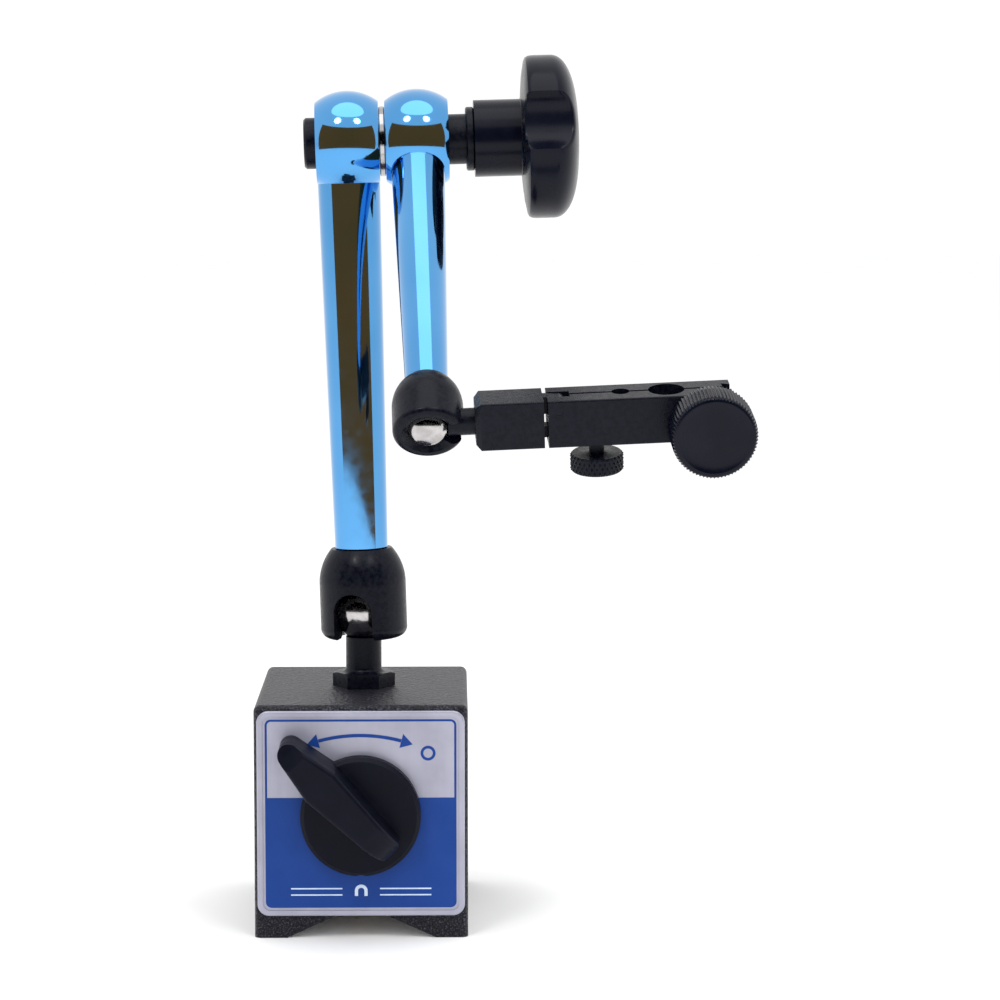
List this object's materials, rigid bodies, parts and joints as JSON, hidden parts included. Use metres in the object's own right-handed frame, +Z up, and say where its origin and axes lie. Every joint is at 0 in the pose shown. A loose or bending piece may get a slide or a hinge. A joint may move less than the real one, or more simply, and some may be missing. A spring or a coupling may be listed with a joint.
{
  "type": "magnetic base indicator stand",
  "caption": "Switchable magnetic base with a V-groove foot and a ball-jointed, centre-locking arm that ends in a fine-adjusting split clamp for a dial indicator.",
  "frame": {"origin": "centre of the base's underside, on the V-groove's centre line in the plane of the feet", "axes": "+X to the right and -Y to the front as the lever is faced, +Z up"},
  "size_m": [0.1128, 0.1087, 0.2062],
  "materials": {
    "wrinkle_paint": "black wrinkle paint, satin",
    "ground_brass": "ground",
    "printed_plate": "printed, lacquered",
    "magnet_ceramic": "sintered, matt",
    "bare_steel": "turned",
    "black_plastic": "moulded, satin",
    "black_oxide": "chemical black, oiled",
    "bright_steel": "polished",
    "blue_chrome": "blue lacquer over bright plating",
    "black_knob": "moulded, semi-gloss",
    "spring_wire": "drawn wire"
  },
  "bodies": {
    "base": {"pole_left": "wrinkle_paint", "pole_right": "wrinkle_paint", "spacer_upper": "wrinkle_paint", "spacer_lower": "ground_brass", "front_bush": "ground_brass", "rear_bush": "ground_brass", "rear_cover": "wrinkle_paint", "stop_pin": "bare_steel", "name_plate": "printed_plate", "base_stud": "black_oxide"},
    "switch": {"switch_lever": "black_plastic", "rotor_spindle": "bare_steel", "rotor_magnet": "magnet_ceramic", "rotor_shoe_a": "bare_steel", "rotor_shoe_b": "bare_steel", "lever_grub_screw": "black_oxide"},
    "lower_ball": {"lower_ball": "bright_steel"},
    "lower_arm": {"lower_socket": "black_oxide", "lower_tube": "blue_chrome", "lower_head": "blue_chrome", "head_washer": "bright_steel"},
    "lower_rod": {"lower_push_rod": "bare_steel", "lower_pressure_pad": "bare_steel"},
    "draw_bolt": {"draw_bolt": "black_oxide"},
    "clamp_collar": {"cam_collar": "black_oxide", "thrust_washer": "black_oxide"},
    "lock_knob": {"lock_knob": "black_knob", "knob_insert": "ground_brass"},
    "upper_arm": {"upper_head": "blue_chrome", "upper_tube": "blue_chrome", "upper_socket": "black_oxide"},
    "upper_rod": {"upper_push_rod": "bare_steel", "upper_pressure_pad": "bare_steel"},
    "upper_ball": {"upper_ball": "bright_steel"},
    "clamp_root": {"adjuster_stem": "black_oxide", "root_block": "black_oxide"},
    "clamp_arm": {"clamp_block": "black_oxide", "pivot_pin": "black_oxide", "lever_spring": "spring_wire"},
    "thumb_tip": {"screw_tip": "ground_brass"},
    "thumb_screw": {"thumb_screw": "black_oxide"},
    "clamp_washer": {"clamp_washer": "black_oxide"},
    "clamp_knob": {"clamp_screw": "black_oxide", "clamp_knob": "black_knob"}
  },
  "joints": [
    {"name": "switch_turn", "type": "hinge", "parent": "base", "child": "switch", "pos_m": [0, -0.03, 0.0296], "axis": [0, 1, 0], "range_deg": [0, 90]},
    {"name": "lower_swivel", "type": "hinge", "parent": "base", "child": "lower_ball", "pos_m": [0, 0, 0.0736], "axis": [0, 0, 1], "continuous": true},
    {"name": "lower_tilt", "type": "hinge", "parent": "lower_ball", "child": "lower_arm", "pos_m": [0, 0, 0.0736], "axis": [0.9659, -0.2589, 0], "range_deg": [-6, 35]},
    {"name": "centre_turn", "type": "hinge", "parent": "lower_arm", "child": "upper_arm", "pos_m": [0.01315, 0.00029, 0.18599], "axis": [-0.9994, -0.0175, -0.0297], "range_deg": [-15, 267]},
    {"name": "upper_swing", "type": "hinge", "parent": "upper_arm", "child": "upper_ball", "pos_m": [0.01613, -0.0643, 0.12367], "axis": [0.0092, 0.6946, -0.7194], "range_deg": [0, 91]},
    {"name": "stem_roll", "type": "hinge", "parent": "upper_ball", "child": "clamp_root", "pos_m": [0.01613, -0.0643, 0.12367], "axis": [0.9987, 0.03, 0.0418], "continuous": true},
    {"name": "lock_turn", "type": "hinge", "parent": "clamp_collar", "child": "lock_knob", "pos_m": [0.04065, 0.00077, 0.18681], "axis": [0.9994, 0.0175, 0.0297], "range_deg": [0, 360]},
    {"name": "collar_travel", "type": "slide", "parent": "lower_arm", "child": "clamp_collar", "axis": [0.9994, 0.0175, 0.0297], "range_m": [0, 0.00065]},
    {"name": "bolt_travel", "type": "slide", "parent": "lower_arm", "child": "draw_bolt", "axis": [0.9994, 0.0175, 0.0297], "range_m": [-0.00061, 0]},
    {"name": "lower_rod_travel", "type": "slide", "parent": "lower_arm", "child": "lower_rod", "axis": [-0.0297, 0, 0.9996], "range_m": [0, 0.00031]},
    {"name": "upper_rod_travel", "type": "slide", "parent": "upper_arm", "child": "upper_rod", "axis": [-0.0332, 0.7192, 0.694], "range_m": [0, 0.00031]},
    {"name": "fine_pivot", "type": "hinge", "parent": "clamp_root", "child": "clamp_arm", "pos_m": [0.04458, -0.06417, 0.12788], "axis": [-0.0389, 0.9716, 0.2332], "range_deg": [-3.58, 3.58], "deforming": ["lever_spring"]},
    {"name": "thumb_travel", "type": "slide", "parent": "clamp_arm", "child": "thumb_tip", "axis": [-0.0336, -0.2346, 0.9715], "range_m": [-0.00054, 0.00054]},
    {"name": "thumb_turn", "type": "hinge", "parent": "thumb_tip", "child": "thumb_screw", "pos_m": [0.05341, -0.06084, 0.1155], "axis": [-0.0336, -0.2346, 0.9715], "range_deg": [-270, 270]},
    {"name": "jaw_travel", "type": "slide", "parent": "clamp_arm", "child": "clamp_washer", "axis": [0.0389, -0.9716, -0.2332], "range_m": [0, 0.0008]},
    {"name": "jaw_turn", "type": "hinge", "parent": "clamp_washer", "child": "clamp_knob", "pos_m": [0.07819, -0.07179, 0.12236], "axis": [0.0389, -0.9716, -0.2332], "range_deg": [0, 360]}
  ],
  "couplings": [
    {"joint": "lock_turn", "follows": "collar_travel", "rad_per_m": 9666.3},
    {"joint": "bolt_travel", "follows": "collar_travel", "ratio": -0.92308},
    {"joint": "lower_rod_travel", "follows": "collar_travel", "ratio": 0.46154},
    {"joint": "upper_rod_travel", "follows": "collar_travel", "ratio": 0.46154},
    {"joint": "thumb_turn", "follows": "fine_pivot", "ratio": 75.398},
    {"joint": "thumb_travel", "follows": "fine_pivot", "m_per_rad": 0.0084},
    {"joint": "jaw_turn", "follows": "jaw_travel", "rad_per_m": 7853.9}
  ]
}
